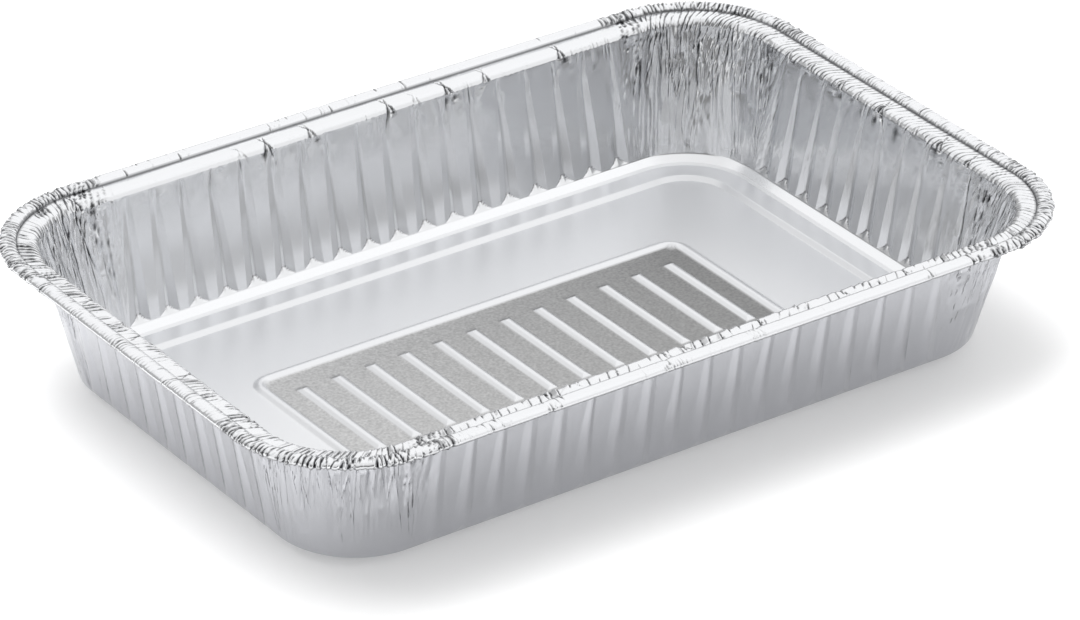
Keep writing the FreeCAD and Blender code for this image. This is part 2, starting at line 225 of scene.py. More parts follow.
def graded(low, high, places, reach, fine, coarse):
    """Positions a fine step apart near the places and a coarse step elsewhere.

    The running sum of one over the local step counts the steps.
    """
    axis = np.linspace(low, high, FINE_TABLE)
    near = np.abs(axis[:, None] - np.atleast_1d(places)).min(axis=1)
    density = 1 / (fine + (coarse - fine) * ease(near, reach, 2 * reach))
    steps = np.concatenate([[0], np.cumsum((density[1:] + density[:-1]) / 2 * np.diff(axis))])
    return np.interp(np.linspace(0, steps[-1], round(steps[-1]) + 1), steps, axis)


def around(long_places, short_places, corner_steps):
    """The columns of a piece, anticlockwise from the front side.

    Each has its outward normal, the sign of its side's or corner's centre, its
    tangent, its home (its place along the side at the foot), its turn round the
    corner (-1 on a side), its axis, its side, and the trip to its side's middle
    or to its place in the corner.
    """
    parts = {name: [] for name in ("normal", "sign", "tangent", "home", "turn", "axis", "side", "start")}
    trip = 0.0
    for side in range(4):
        axis = side % 2
        places = (long_places, short_places)[axis][:-1]
        facing = math.radians(90 * side - 90)
        out = np.array([math.cos(facing), math.sin(facing)]).round(9)
        turns = np.linspace(0, 90, corner_steps + 1)[:-1]
        angle = facing + np.radians(turns)
        corner = out + [-out[1], out[0]]
        flat, bent = len(places), len(turns)
        parts["normal"] += [np.tile(out, (flat, 1)), np.column_stack([np.cos(angle), np.sin(angle)])]
        parts["sign"] += [np.tile(out, (flat, 1)), np.tile(corner, (bent, 1))]
        parts["tangent"] += [np.tile([-out[1], out[0]], (flat, 1)), np.zeros((bent, 2))]
        parts["home"] += [places, np.zeros(bent)]
        parts["turn"] += [np.full(flat, -1.0), turns + 90 * side]
        parts["axis"] += [np.full(flat + bent, axis)]
        parts["side"] += [np.full(flat + bent, side)]
        middle = trip + STRAIGHT_RIM[axis]
        parts["start"] += [np.full(flat, middle), middle + STRAIGHT_RIM[axis] + CORNER_TRAVEL * turns / 90]
        trip += 2 * STRAIGHT_RIM[axis] + CORNER_TRAVEL
    return {name: np.concatenate(values) for name, values in parts.items()}


print(f"{ROUND_TRIP:.0f} mm round the tray")

# %% [markdown]
# ## How foil crumples
# Foil bends along sharp, nearly straight lines and stays flat between them. Two patterns give that:
# a zigzag with uneven folds, and smooth noise folded at its middle value. Both close up after one
# trip round the tray, and the last number of each is its seed. The corners hold most of the spare
# foil, the short sides some, and the long sides little.

# %% Crumple patterns
LATTICE = 512  # cells after which the noise repeats
LONG_SPARE, SHORT_SPARE = 0.12, 0.45  # spare foil in the middle of the sides; a corner has 1


def smooth_noise(across, along, seed, wrap=LATTICE):
    """Random values on a square lattice, blended with 3t^2 - 2t^3; repeats after wrap cells across."""
    table = np.random.default_rng(seed).random((wrap, LATTICE))
    i, j = np.floor(across).astype(int), np.floor(along).astype(int)
    u, v = ease(across - i, 0, 1), ease(along - j, 0, 1)
    here, after = i % wrap, (i + 1) % wrap
    low, high = [table[here, k % LATTICE] * (1 - u) + table[after, k % LATTICE] * u for k in (j, j + 1)]
    return low * (1 - v) + high * v


def drift(trip, travel, cell, reach, seed):
    """Smooth noise from -1 to 1 that closes round the tray; its cells have this size and this reach."""
    wrap = round(ROUND_TRIP / cell)
    return 2 * smooth_noise(trip * wrap / ROUND_TRIP, travel / reach, seed, wrap) - 1


def creases(trip, travel, cell, reach, seed):
    """Creased noise from 0 to 1: one minus the size of the drift, so it is sharp where the drift is 0."""
    return 1 - np.abs(drift(trip, travel, cell, reach, seed))


def zigzag(trip, pitch, jitter, seed):
    """Folds round the tray: straight runs between uneven heights, alternately up and down.

    The heights lie half a pitch apart, give or take a quarter of it times the jitter.
    """
    count = 2 * round(ROUND_TRIP / pitch)
    rng = np.random.default_rng(seed)
    knots = (np.arange(count) + jitter * rng.uniform(-0.5, 0.5, count)) * ROUND_TRIP / count
    heights = np.where(np.arange(count) % 2, 1.0, -1.0) * rng.uniform(0.3, 1.0, count)
    return np.interp(trip, knots, heights, period=ROUND_TRIP)


def spare_foil(columns):
    """How much spare foil a column holds: 1 in the corners, less on the short and long sides."""
    along = np.abs(columns["along"])
    long_side = LONG_SPARE + (1 - LONG_SPARE) * ease(along, HOLD[0] - 8, STRAIGHT_FOOT[0] + 3)
    short_side = SHORT_SPARE + (1 - SHORT_SPARE) * ease(along, HOLD[1] - 10, STRAIGHT_FOOT[1] + 3)
    return np.where(columns["turn"] >= 0, 1.0, np.where(columns["axis"] == 0, long_side, short_side))


print(f"spare foil: 1 in the corners, {SHORT_SPARE} and {LONG_SPARE} on the sides")

# %% [markdown]
# ## Flutes
# A flute is a ridge that stands outwards: a narrow flat crest between two flat flanks, all widest at
# the foot and running out at the wall's top. A small hollow facet, the heel, cuts its lower end, so
# that the crest ends in a pointed tooth of ledge. Each form is one function of columns and travel,
# which gives a height in millimetres, and the relief of the sheet is their sum.

# %% Flutes
HEEL_HOLLOW = 1.2  # how much more quickly the heel rises at its sides than at its middle


def flute_form(columns, travel):
    """The nearest flute at this height: its place, sway, half widths and depth, a little uneven."""
    height = np.clip((travel - V_FOOT) / (V_TOP - V_FOOT), 0, 1)
    count = np.where(columns["axis"] == 0, LONG_FLUTES, SHORT_FLUTES)
    number, home = nearest(columns["home"], count, FLUTE_PITCH)
    which = (20 * columns["side"] + number).astype(int)
    width, lean, size, snake = np.random.default_rng(11).uniform(-1, 1, (4, 80))[:, which]
    return {
        "home": home,
        "sway": height * (0.45 * lean + 0.3 * snake * np.sin(6 * height + 3 * lean)),
        "crest": HALF_CREST * (1 - 0.55 * height),
        "flank": HALF_FLANK * (1 - (0.62 + 0.18 * width) * height),
        "depth": FLUTE_DEPTH * (1 + 0.12 * size) * (1 - height) ** 0.75,
    }


def flute(columns, travel):
    """Depth of the flutes: a flat crest and flat flanks, cut by the heel, which rises from the foot."""
    form = flute_form(columns, travel)
    away = np.abs(columns["along"] - form["home"] - form["sway"])
    share = np.clip((form["flank"] - away) / (form["flank"] - form["crest"]), 0, 1)
    rise = np.clip(travel - V_FOOT, 0, None) / FLUTE_HEEL
    heel = FLUTE_DEPTH * rise * (1 + HEEL_HOLLOW * away / form["flank"])
    return np.where(columns["turn"] >= 0, 0, np.minimum(form["depth"] * share, heel))


def follow_flutes(columns, travel):
    """Places of the wall's columns that keep to the edges of the crests and flanks."""
    form = flute_form(columns, travel)
    offset = columns["home"] - form["home"]
    side, away = np.sign(offset), np.abs(offset)
    on_crest = form["sway"] + offset * form["crest"] / HALF_CREST
    share = (away - HALF_CREST) / (HALF_FLANK - HALF_CREST)
    on_flank = form["sway"] + side * (form["crest"] + share * (form["flank"] - form["crest"]))
    share = (HALF_PITCH - away) / (HALF_PITCH - HALF_FLANK)
    on_panel = side * HALF_PITCH + share * (form["sway"] + side * (form["flank"] - HALF_PITCH))
    place = np.where(away <= HALF_FLANK, on_flank, on_panel)
    return form["home"] + np.where(away <= HALF_CREST, on_crest, place)


print(f"{2 * (LONG_FLUTES + SHORT_FLUTES)} flutes, {FLUTE_DEPTH} mm deep at the foot")

# %% [markdown]
# ## Gathers, crumples and creases
# Drawing the corners leaves more foil there than the corner needs. It goes into deep upright folds,
# and between them into finer crumples and into single sharp creases, which fork.

# %% Spare foil of the corners
GATHER_COUNT, GATHER_DEPTH, GATHER_DROP = 16, 0.32, 2.6
FINE, CROSS, LONG, PINCHED, SHOULDER = 0.13, 0.15, 0.45, 0.26, 0.12  # depths of the crumples
CREASE_COUNT, CREASE_DEPTH, CREASE_REACH = 400, 0.22, 0.33


def gather(columns, travel):
    """The corners' main folds: straight between uneven heights, deepest just under the shoulder."""
    corner, turn = np.divmod(np.clip(columns["turn"], 0, None), 90)
    fold = np.arange(GATHER_COUNT + 1)
    relief = np.zeros(len(turn))
    for number in range(4):
        sway = np.where((fold > 0) & (fold < GATHER_COUNT), 0.28 * np.sin(2.4 * fold + 1.7 * number), 0)
        swing = (0.75 + 0.25 * np.sin(1.9 * fold + 2.3 * number)) * np.where(fold % 2, 1, -1)
        swing[[0, -1]] = 0
        folds = GATHER_DEPTH * np.interp(turn, 90 * (fold + sway) / GATHER_COUNT, swing)
        relief = np.where((columns["turn"] >= 0) & (corner == number), folds, relief)
    deepest = V_TOP - GATHER_DROP
    return relief * np.interp(travel, [V_FOOT, deepest, V_TOP, V_FLANGE], [0, 1, 0.5, 0])


def crumple(columns, travel):
    """Folds of the spare foil on the wall: two zigzags and two creased noises along leaning lines.

    Their sum grows with the square of the spare foil. The sides keep a little under the shoulder.
    """
    trip, spare = columns["trip"], spare_foil(columns)
    lean = 1.6 * drift(trip, travel, 9.0, 14.0, 21) + 0.5 * drift(trip, travel, 2.5, 5.0, 22)
    fine = zigzag(trip + lean + 0.05 * travel, 1.5, 0.75, 23)
    cross = zigzag(trip - lean - 0.16 * travel, 2.3, 0.75, 26)
    long_folds = creases(trip + 0.6 * lean, travel, 2.6, 13.0, 24) - 0.6
    pinched = creases(trip + 0.4 * lean, travel, 3.4, 11.0, 28) ** 5
    patch = ease(drift(trip, travel, 3.2, 9.0, 25), -0.7, 0.5)
    other = ease(drift(trip, travel, 4.1, 7.0, 27), -0.4, 0.7)
    rise = np.interp(travel, [V_FOOT, V_FOOT + 2, V_TOP - 14, V_TOP - 2, V_FLANGE], [0, 0.45, 0.7, 1, 0])
    streaks = FINE * fine * patch + CROSS * cross * other + LONG * long_folds - PINCHED * pinched
    under = np.interp(travel, [V_TOP - 7, V_TOP - 1.5, V_FLANGE], [0, 1, 0])
    return spare ** 2 * rise * streaks + SHOULDER * under * fine * patch * (1 - spare ** 2)


def in_cells(columns, count, kinds, seed, step=0):
    """Distance from the middle of a cell, in cells, and the cell's chances from -1 to 1.

    The round trip has count cells. Step 0 is a column's own, and -1 and 1 are beside it.
    """
    cell = np.mod(columns["trip"], ROUND_TRIP) * count / ROUND_TRIP
    number = np.floor(cell).astype(int)
    chances = np.random.default_rng(seed).uniform(-1, 1, (kinds, count))
    return cell - number - step - 0.5, chances[:, (number + step) % count]


def long_creases(columns, travel):
    """Sharp creases down the corners: leaning straight lines, one to a cell, which fork half way down."""
    down = np.clip(V_FLANGE - travel, 0, None)
    folds = 0.0
    for step in (-1, 0, 1):
        middle, (place, lean, size, length, fork) = in_cells(columns, CREASE_COUNT, 5, 43, step)
        line = (middle - 0.4 * place) * ROUND_TRIP / CREASE_COUNT - 0.16 * lean * down
        branch = line - 0.3 * np.sign(fork) * np.clip(down - 7 - 5 * np.abs(fork), 0, None)
        end = 24 + 10 * length
        reach = ease(down, 0.5, 3) * (1 - ease(down, end - 5, end))
        near = np.minimum(np.abs(line), np.abs(branch))
        folds = folds + size * reach * np.clip(1 - near / CREASE_REACH, 0, 1)
    return CREASE_DEPTH * spare_foil(columns) ** 4 * folds


print(f"{GATHER_COUNT} gathers to a corner, {CREASE_COUNT} cells with a crease each")

# %% [markdown]
# ## Pleats and tucks
# Shoulder and flange are squeezed as the rim is rolled, so their foil lies in pleats, like roof tiles.
# There is also about one tuck to a flute, a single deep fold over the shoulder that forks on the wall.

# %% Pleats and tucks
PLEAT_STRENGTH = [1.5, 0.9, 0.03, 0.8]  # front, right, back and left side
PLEAT_RISE = 0.82  # share of a pleat that rises; the rest drops back
SIDE_PITCH, CORNER_PITCH = 2.7, 1.5  # middle of the front and back, and round the corners
PLEAT_TABLE = np.linspace(0, ROUND_TRIP, FINE_TABLE)
PLEAT_SIZES = 997  # random sizes, more than there are pleats
TUCK_COUNT, TUCK_DEPTH = 64, 0.42


def pleat_phase(trip):
    """Number of pleats up to a place: the running sum of one over the local pitch."""
    middles = np.array([0, 1]) * (2 * STRAIGHT_RIM.sum() + 2 * CORNER_TRAVEL) + STRAIGHT_RIM[0]
    away = np.abs(PLEAT_TABLE[:, None] - middles)
    away = np.minimum(away, ROUND_TRIP - away).min(axis=1)
    pitch = SIDE_PITCH - (SIDE_PITCH - CORNER_PITCH) * ease(away, 30, STRAIGHT_RIM[0])
    phase = np.concatenate([[0], np.cumsum(np.diff(PLEAT_TABLE) / pitch[1:])])
    return np.interp(trip, PLEAT_TABLE, phase * round(phase[-1]) / phase[-1])


def side_share(columns, shares):
    """A value for each of the four sides, joined smoothly round the corners between them."""
    here = np.array(shares)[columns["side"]]
    after = np.roll(shares, -1)[columns["side"]]
    round_corner = ease(np.clip(columns["turn"], 0, None) % 90, 0, 90)
    return here + (after - here) * np.where(columns["turn"] >= 0, round_corner, 0)


def pleats(columns, travel):
    """Pleats over shoulder and flange: each rises slowly along the rim and drops back steeply."""
    slant = 0.4 * (travel - V_FLANGE)
    trip = np.mod(columns["trip"] + slant, ROUND_TRIP)
    phase = pleat_phase(trip) + 0.5 * drift(trip, travel, 4.2, 9.0, 35)
    phase = phase + 0.2 * drift(trip, travel, 1.8, 9.0, 38)
    share = phase - np.floor(phase)
    tooth = np.where(share < PLEAT_RISE, share / PLEAT_RISE, (1 - share) / (1 - PLEAT_RISE))
    size = np.random.default_rng(36).random(PLEAT_SIZES)[np.floor(phase).astype(int) % PLEAT_SIZES]
    size = (0.45 + size ** 2) * (0.3 + 1.1 * ease(drift(trip, travel, 2.2, 2.2, 39), -0.5, 0.4))
    spare = spare_foil(columns)
    heights = [V_TOP - 1.5, V_TOP + 0.4, V_FLANGE, V_GROOVE, V_BEAD, V_BEAD + 1.5]
    reach = np.interp(travel, heights, [0, 0.7, 1, 1, 0.5, 0])
    below = np.interp(travel, [V_TOP - 15, V_TOP - 2, V_TOP + 0.4], [0, 0.55, 0.7])
    reach = np.maximum(reach, below * spare ** 3)
    strength = np.maximum(side_share(columns, PLEAT_STRENGTH), ease(spare, 0.3, 1.0))
    return (0.30 + 0.10 * spare) * strength * reach * size * (tooth - 0.5)


def tucks(columns, travel):
    """Single deep folds over the shoulder, along two lines that part on the wall below."""
    middle, (place, lean, size) = in_cells(columns, TUCK_COUNT, 3, 37)
    size = np.clip(0.45 + 0.75 * size, 0, 1)
    offset = (middle - 0.25 * place) * ROUND_TRIP / TUCK_COUNT
    down = np.clip(V_FLANGE - travel, -3, None)
    left, right = offset - (0.30 + 0.15 * lean) * down, offset + (0.30 - 0.15 * lean) * down
    width = 0.4 + 0.07 * np.clip(down, 0, None)
    fold = np.clip(1 - np.minimum(np.abs(left), 1.3 * np.abs(right)) / width, 0, 1)
    rows = [V_TOP - 6, V_TOP - 2, V_TOP + 0.8, V_FLANGE + 0.5, V_GROOVE]
    reach = np.interp(travel, rows, [0, 0.4, 1, 0.8, 0])
    inside = 1 - ease(np.abs(middle), 0.36, 0.5)
    return -TUCK_DEPTH * size * reach * fold * inside


print(f"{pleat_phase(PLEAT_TABLE)[-1]:.0f} pleats and up to {TUCK_COUNT} tucks round the tray")

# %% [markdown]
# ## The bead, and the whole relief
# The bead takes the last of the folds as nicks, dense in the corners, and as single cuts between
# them. Thin foil is nowhere quite flat, so slow waves lie under everything.

# %% Bead and waves
TICK_COUNT, TICK_DEPTH, TICK_REACH = 170, 0.24, 0.3
TICK_STRENGTH = [0.25, 0.8, 1.0, 0.5]  # front, right, back and left side


def ticks(columns, travel):
    """Single short cuts across a part of the bead, in about half of the cells round the tray."""
    middle, (place, size) = in_cells(columns, TICK_COUNT, 2, 48)
    offset = (middle - 0.35 * place) * ROUND_TRIP / TICK_COUNT
    reach = ease(travel, V_BEAD, V_BEAD + 0.4) * ease(drift(columns["trip"], travel, 3.0, 1.6, 49), -0.4, 0.2)
    size = np.clip(size, 0, 1) * side_share(columns, TICK_STRENGTH)
    return -TICK_DEPTH * reach * size * np.clip(1 - np.abs(offset) / TICK_REACH, 0, 1)


def nicks(columns, travel):
    """Folds and cuts over parts of the bead, a zigzag and creased noise; few clusters on the sides."""
    trip, spare = columns["trip"], spare_foil(columns)
    on_bead = ease(travel, V_BEAD - 0.3, V_BEAD + 0.5)
    fine = zigzag(trip + 0.3 * drift(trip, travel, 1.5, 2.0, 31), 1.0, 0.8, 32)
    cut = creases(trip, travel, 1.6, 4.0, 33) ** 5
    reach = ease(drift(trip, travel, 2.0, 3.0, 34), -0.7, 0.4)
    cluster = ease(drift(trip, travel, 6.0, 30.0, 46), 0.3, 0.5) * (1 - spare ** 2)
    small = 0.015 + 0.30 * spare ** 2 + 0.06 * cluster
    return on_bead * reach * (small * fine - (0.05 + 0.32 * spare ** 2 + 0.2 * cluster) * cut)


def waves(columns, travel):
    """The slow unevenness of thin foil: noise of a few hundredths of a millimetre, more on the flange."""
    trip = columns["trip"]
    slow = 0.06 * drift(trip, travel, 14.0, 12.0, 41) + 0.03 * drift(trip, travel, 5.0, 6.0, 42)
    slow = slow * ease(travel, V_FOOT, V_FOOT + 4) * (1 - 0.7 * ease(travel, V_BEAD, V_BEAD + 1))
    on_flange = ease(travel, V_TOP, V_FLANGE) * (1 - ease(travel, V_GROOVE - 0.5, V_GROOVE))
    return slow + 0.05 * on_flange * drift(trip, travel, 12.0, 1.2, 45)


def relief(columns, travel):
    """Distance of the sheet from its plain form, towards the inside of the tray and its upper face."""
    folds = (crumple, pleats, tucks, long_creases, ticks, nicks, waves)
    raised = sum(fold(columns, travel) for fold in folds)
    return raised - flute(columns, travel) - gather(columns, travel)


print("relief: nine forms, from flutes to waves")

# %% [markdown]
# ## From relief to sheet
# A grid of rows and columns gives the underside of the sheet: the plain form, moved by the relief along
# its own direction. That direction is then tipped by the relief's slope, taken over a tenth of a
# millimetre, so a fold stays sharp though the grid is coarser. The upper face lies one foil along it.

# %% Sheet grids
SLOPE_STEP = 0.05  # distance over which the relief's slope is taken
FOLD_REACH = 0.42  # distance from a fold's line at which its sides' slope is taken
# SHADE_ROWS and SHADES: painted shade, the groove and the underside of the roll coloured dark
SHADE_ROWS = [V_GROOVE - 0.25, V_GROOVE + 0.1, V_BEAD - 0.05, V_BEAD + 0.2, V_LIP - 0.1, V_LIP + 0.1]
SHADES = [0, 0.8, 0.8, 0, 0, 0.75]  # at those rows: painted shade in the groove and under the roll


def ring_form(travels):
    """Level, corner radius and half straight lengths of the rings at these travels."""
    inset = np.interp(travels, travel, section[:, 0])
    level = np.interp(travels, travel, section[:, 1])
    base, rim = FOOT_CORNER + FOOT_INSET - inset, RIM_CORNER - inset
    share = np.clip((level - FOOT_HEIGHT) / (TOP_LEVEL - FOOT_HEIGHT), 0, 1)
    radius = np.where(travels > V_TOP, rim, base * (1 - share) + rim * share)
    radius = np.where(travels < V_FOOT, base, radius)
    return level, radius, np.stack([LENGTH / 2 - inset - radius, WIDTH / 2 - inset - radius])


FAR = 1e6  # place along a side of columns that lie on none


def placed(columns, travels, on_wall):
    """The columns with their places at these travels, along their side and round the tray.

    A column keeps its home up to the last flute. Beyond it the columns share the plain margin.
    """
    home, axis = columns["home"], columns["axis"]
    hold, side = HOLD[axis], np.sign(home)
    limit = ring_form(travels)[2][axis, :, 0].T
    share = np.clip((np.abs(home) - hold) / (STRAIGHT_FOOT[axis] - hold), 0, 1)
    form = flute_form(columns, travels)
    edge = form["home"] + form["sway"] + side * form["flank"] if on_wall else side * hold
    inner = follow_flutes(columns, travels) if on_wall else home
    along = np.where(share > 0, edge + share * (side * limit - edge), inner)
    beyond = np.maximum(np.abs(along) - hold, 0)
    trip = side * (np.minimum(np.abs(along), hold) + beyond * (STRAIGHT_RIM[axis] - hold) / (limit - hold))
    trip = np.where(np.abs(along) > hold, trip, along)
    corner = columns["turn"] >= 0
    trip = columns["start"] + np.where(corner, 0, trip)
    return {**columns, "along": np.where(corner, FAR, along), "trip": trip}


def plain_ring(columns, travels):
    """Points of the plain sheet's underside, before its relief, for rows at these travels."""
    level, radius, straight = ring_form(travels)
    points = np.empty((len(travels), len(columns["home"]), 3))
    place = np.where(columns["turn"] >= 0, 0, columns["along"])
    for axis in range(2):
        centre = columns["sign"][:, axis] * straight[axis] + columns["tangent"][:, axis] * place
        points[..., axis] = centre + radius * columns["normal"][:, axis]
    points[..., 2] = level
    return points


def beside(columns, travels, way):
    """The relief a small way round the tray."""
    turned = np.maximum(columns["turn"] + math.degrees(way / CORNER_RADIUS), 0)
    turned = np.where(columns["turn"] >= 0, turned, -1)
    moved = {"trip": columns["trip"] + way, "along": columns["along"] + way, "turn": turned}
    return relief({**columns, **moved}, travels)


def slopes(columns, travels):
    """Slope of the relief along the ring and up the section, from values on both sides."""
    ring = beside(columns, travels, SLOPE_STEP) - beside(columns, travels, -SLOPE_STEP)
    up = relief(columns, travels + SLOPE_STEP) - relief(columns, travels - SLOPE_STEP)
    return ring / (2 * SLOPE_STEP), up / (2 * SLOPE_STEP)


def painted_fold_shade(columns, travels):
    """How sharply the sheet is folded along the ring: above 0 in valleys of the upper face.

    It is the painted shade of the folds: the mean slope of the fold's two sides, eased so that
    only tight folds count, and at least the painted shade in the groove and under the roll.
    """
    sides = beside(columns, travels, FOLD_REACH) + beside(columns, travels, -FOLD_REACH)
    slope = (sides - 2 * relief(columns, travels)) / (2 * FOLD_REACH)
    shade = np.interp(travels, SHADE_ROWS, SHADES)
    return np.maximum(np.sign(slope) * ease(np.abs(slope), 0.08, 0.36), shade)


def foil_rows(columns, travels, on_wall=False):
    """The sheet's underside, its direction and the painted shade of its folds, with the relief, for a piece's
    rows.
    """
    rows = np.concatenate([[travels[0] - SLOPE_STEP], travels, [travels[-1] + SLOPE_STEP]])[:, None]
    columns = placed(columns, rows, on_wall)
    points = plain_ring(columns, rows)
    along = np.roll(points, -1, axis=1) - np.roll(points, 1, axis=1)
    up = np.gradient(points, rows[:, 0], axis=0)
    direction = unit(np.cross(up, along))
    ahead = np.roll(columns["trip"], -1, axis=-1) - np.roll(columns["trip"], 1, axis=-1)
    stretch = np.linalg.norm(along, axis=-1) / np.mod(ahead, ROUND_TRIP)
    slope_ring, slope_up = slopes(columns, rows)
    points = points + relief(columns, rows)[..., None] * direction
    tip = (slope_ring / stretch)[..., None] * unit(along) + slope_up[..., None] * unit(up)
    return points[1:-1], unit(direction - tip)[1:-1], painted_fold_shade(columns, rows)[1:-1]


def new_object(name, data):
    """A new object, placed in the scene."""
    thing = bpy.data.objects.new(name, data)
    bpy.context.scene.collection.objects.link(thing)
    return thing


def quads(grid, closed):
    """Corner numbers of a grid's faces; a closed grid joins its last column to its first."""
    right = np.roll(grid, -1, axis=1)
    cells = [grid[:-1], right[:-1], right[1:], grid[1:]]
    return np.stack([cell if closed else cell[:, :-1] for cell in cells], axis=-1).reshape(-1, 4)


def point_values(mesh, name, under, upper):
    """Stores a value for each point of the underside and of the upper face."""
    values = np.concatenate([np.broadcast_to(value, len(mesh.vertices) // 2) for value in (under, upper)])
    mesh.attributes.new(name, "FLOAT", "POINT").data.foreach_set("value", values.astype(np.float32))


def sheet_piece(name, under, normal, folds, closed=True, bright=1.0):
    """A closed mesh of the sheet: its underside, its upper face one foil away and the strips at its edges."""
    rows, count = under.shape[:2]
    low = np.arange(rows * count).reshape(rows, count)
    high = low + rows * count
    edges = [(low[0], high[0]), (high[-1], low[-1])]
    if not closed:
        edges += [(high[:, 0], low[:, 0]), (low[:, -1], high[:, -1])]
    faces = [quads(low, closed)[:, ::-1], quads(high, closed)]
    faces = np.concatenate(faces + [quads(np.stack(edge), closed) for edge in edges])
    turned = np.cross(under[0, 1] - under[0, 0], under[1, 0] - under[0, 0]) @ normal[0, 0] < 0
    faces = faces[:, ::-1] if turned else faces
    points = np.concatenate([under.reshape(-1, 3), (under + FOIL * normal).reshape(-1, 3)]) * MM
    shading = np.concatenate([-normal.reshape(-1, 3), normal.reshape(-1, 3)])
    mesh = bpy.data.meshes.new(name)
    mesh.vertices.add(len(points))
    mesh.vertices.foreach_set("co", points.ravel())
    mesh.loops.add(faces.size)
    mesh.loops.foreach_set("vertex_index", faces.ravel())
    mesh.polygons.add(len(faces))
    mesh.polygons.foreach_set("loop_start", np.arange(0, faces.size, 4))
    mesh.update(calc_edges=True)
    mesh.shade_smooth()
    mesh.normals_split_custom_set_from_vertices(shading)
    point_values(mesh, "inside", 0.0, bright)
    # The fold attribute is painted shade: the shader colours tight folds, the groove and the roll's underside
    # dark by it.
    point_values(mesh, "fold", np.maximum(-folds.ravel(), 0), np.maximum(folds.ravel(), 0))
    piece = new_object(name, mesh)
    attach(piece, "root")
    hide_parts("foil_tray")
    print(f"{name}: {rows} x {count} grid, {2 * len(faces)} triangles")
    return piece


# %% [markdown]
# ## The fluted wall
# The wall carries the finest forms at its foot, where the flutes end in their heels, so its rows lie
# closer there, and its columns lie closer near the crests. It is made as a lower and an upper band.

# %% Wall
V_MIDDLE = V_FOOT + 8.0
WALL_START = V_LEDGE + 0.8  # where the wall takes over from the stepped foot
EDGE = 0.06  # columns lie this far on both sides of each edge of a flute
half_flute = np.concatenate([
    [HALF_CREST - EDGE],
    np.linspace(HALF_CREST + EDGE, HALF_FLANK - EDGE, 6),
    np.linspace(HALF_FLANK + EDGE, HALF_PITCH, 3),
])
one_flute = np.concatenate([-half_flute[::-1], half_flute[:-1]])
margin = np.linspace(0, 1, 15)


def with_margins(places, axis):
    """A side's places up to the last flute's edge, and even steps from there to the corner."""
    inner = places[np.abs(places) < HOLD[axis] - EDGE / 2]
    beyond = HOLD[axis] + margin * (STRAIGHT_FOOT[axis] - HOLD[axis])
    return np.concatenate([-beyond[::-1], inner, beyond])


fluted = [np.add.outer(row, one_flute).ravel() for row in CRESTS]
wall_columns = around(with_margins(fluted[0], 0), with_margins(fluted[1], 1), corner_steps=170)
lower_rows = graded(WALL_START, V_MIDDLE, [V_FOOT + 1.2], reach=1.5, fine=0.26, coarse=0.8)
upper_rows = graded(V_MIDDLE, V_TOP, [V_TOP], reach=3.0, fine=0.5, coarse=1.15)
wall_lower = sheet_piece("wall_lower", *foil_rows(wall_columns, lower_rows, on_wall=True))
wall_upper = sheet_piece("wall_upper", *foil_rows(wall_columns, upper_rows, on_wall=True))

# %% [markdown]
# ## The rim
# The flange is where the pleats show best, and the bead takes the nicks, so both have columns about a
# quarter of a millimetre apart. The bead is a true roll, pressed flat: its sheet turns 330 degrees.

# %% Rim
RIM_INSIDE_SHARE = 0.9  # share of the inside's brightness that the rim is coloured with: a little darker than the wall
END_GAP = 0.06  # the drawn roll stops this far before the line's end
rim_columns = around(
    with_margins(np.linspace(-HOLD[0], HOLD[0], 540), 0),
    with_margins(np.linspace(-HOLD[1], HOLD[1], 330), 1),
    corner_steps=210,
)
flange_rows = np.concatenate([
    np.linspace(V_TOP, V_FLANGE, 7)[:-1],
    np.linspace(V_FLANGE, V_GROOVE, 7)[:-1],
    np.linspace(V_GROOVE, V_BEAD, 5),
])
flange = sheet_piece("flange", *foil_rows(rim_columns, flange_rows), bright=RIM_INSIDE_SHARE)
rim_rows = np.linspace(V_BEAD, V_END - END_GAP, 17)
rolled_rim = sheet_piece("rolled_rim", *foil_rows(rim_columns, rim_rows), bright=RIM_INSIDE_SHARE)

# %% [markdown]
# ## The stepped foot
# Between the wall and the flat panel lie the ledge, the band and the step. They are plain, so few
# columns are enough, but each bend gets its own rows: those bends are the bright lines of the base.

# %% Stepped foot
foot_columns = around(
    np.linspace(-STRAIGHT_FOOT[0], STRAIGHT_FOOT[0], 120),
    np.linspace(-STRAIGHT_FOOT[1], STRAIGHT_FOOT[1], 70),
    corner_steps=36,
)
bend_middles = [station(run, len(run) // 2) for run in runs[:3]]
foot_rows = graded(LINE_START, WALL_START, bend_middles, reach=0.3, fine=0.08, coarse=0.7)
stepped_foot = sheet_piece("stepped_foot", *foil_rows(foot_columns, foot_rows))

# %% [markdown]
# ## The base panel
# The panel is flat and stiffened by pressed ribs: a frame and a row of bars, with sloping sides and a
# narrow flat top. Their height depends only on the distance from the rib's middle line. The grid's
# lines lie close together only where the ribs are.

# %% Base panel
FRAME_LENGTH, FRAME_WIDTH, FRAME_CORNER = 119.0, 50.0, 4.0
BAR_COUNT, BAR_PITCH, BAR_LENGTH = 12, 9.4, 31.0
RIB_FOOT, RIB_TOP, RIB_HEIGHT = 3.2, 0.8, 0.85
RIB_SHIFT = FOIL * math.tan(math.atan(2 * RIB_HEIGHT / (RIB_FOOT - RIB_TOP)) / 2)  # underside narrower
PANEL_HALF = np.array([LENGTH, WIDTH]) / 2 - PANEL_INSET
PANEL_CORNER = FOOT_CORNER + FOOT_INSET - PANEL_INSET
RIB_SOFT = 0.1  # share of a rib's height over which its edges are rounded
NUDGE = 0.02  # distance over which the panel's slope is taken


def frame_side(x, y):
    """Distance from the frame's middle line, a rounded rectangle: negative inside it."""
    qx, qy = np.abs(x) - FRAME_LENGTH / 2 + FRAME_CORNER, np.abs(y) - FRAME_WIDTH / 2 + FRAME_CORNER
    outside = np.hypot(np.maximum(qx, 0), np.maximum(qy, 0))
    return outside + np.minimum(np.maximum(qx, qy), 0) - FRAME_CORNER


